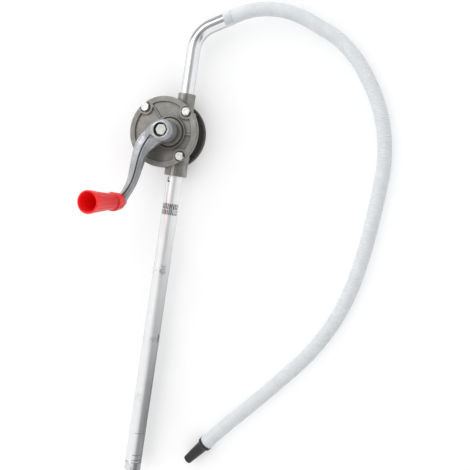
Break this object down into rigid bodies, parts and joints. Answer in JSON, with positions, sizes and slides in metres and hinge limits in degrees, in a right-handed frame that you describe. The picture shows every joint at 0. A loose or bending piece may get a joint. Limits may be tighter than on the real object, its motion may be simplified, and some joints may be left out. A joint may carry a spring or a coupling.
{
  "type": "rotary hand transfer pump",
  "caption": "Crank-driven rotary vane hand pump with a straight telescopic suction tube, a bent outlet pipe and a ribbed delivery hose ending in a nozzle.",
  "frame": {"origin": "centre of the rear cover's flat back face, on the axis of the round pumping chamber", "axes": "+Z along the drive shaft, out of the front cover towards the crank; +Y along the suction tube's axis, from the tube's foot towards the outlet; +X towards the side on which the two ports are set over"},
  "size_m": [0.5141, 0.9402, 0.2094],
  "materials": {
    "black_paint": "semi-gloss charcoal paint",
    "cast_aluminium": "fine as-cast skin, faintly warm grey",
    "gasket": "dull dark sheet",
    "zinc_fastener": "bright zinc plate",
    "bronze": "sintered",
    "seal_rubber": "matt",
    "shaft_steel": "ground",
    "rotor_iron": "machined",
    "vane_plastic": "filled phenolic",
    "spring_steel": "drawn",
    "crank_paint": "bluish silver, satin",
    "grip_red": "moulded, semi-gloss red",
    "chromed_pipe": "bright plated",
    "galvanised_tube": "zinc plated, satin",
    "hose_clear": "translucent, milky",
    "nozzle_black": "moulded black"
  },
  "bodies": {
    "pump": {"rear_cover": "black_paint", "rear_gasket": "gasket", "pump_body": "cast_aluminium", "front_gasket": "gasket", "front_cover": "cast_aluminium", "cover_bolts": "zinc_fastener", "rear_cover_screws": "zinc_fastener", "rear_bush": "bronze", "front_bush": "bronze", "shaft_seal": "seal_rubber", "seal_retainer": "shaft_steel", "outlet_seal": "seal_rubber", "outlet_pipe": "chromed_pipe", "suction_seal": "seal_rubber", "suction_tube": "galvanised_tube", "tube_locking_screw": "shaft_steel", "tube_seal_ring": "seal_rubber", "hose_cuff": "hose_clear", "hose": "hose_clear", "nozzle": "nozzle_black"},
    "crank": {"drive_shaft": "shaft_steel", "rotor_key": "shaft_steel", "rotor": "rotor_iron", "rotor_vanes": "vane_plastic", "vane_springs": "spring_steel", "crank_arm": "crank_paint", "crank_washer": "zinc_fastener", "crank_bolt": "zinc_fastener", "handle_spindle": "shaft_steel", "spindle_washer": "zinc_fastener", "spindle_nut": "zinc_fastener"},
    "handle": {"handle_grip": "grip_red"},
    "inner_tube": {"telescopic_tube": "galvanised_tube", "tube_guide_ring": "vane_plastic", "suction_foot": "galvanised_tube"}
  },
  "joints": [
    {"name": "crank_spin", "type": "hinge", "parent": "pump", "child": "crank", "pos_m": [0.0145, 0, 0], "axis": [0, 0, 1], "continuous": true},
    {"name": "handle_spin", "type": "hinge", "parent": "crank", "child": "handle", "pos_m": [-0.05258, -0.14504, 0.1], "axis": [-0.0666, -0.0548, 0.9963], "continuous": true},
    {"name": "suction_extension", "type": "slide", "parent": "pump", "child": "inner_tube", "axis": [0, -1, 0], "range_m": [0, 0.4]}
  ]
}
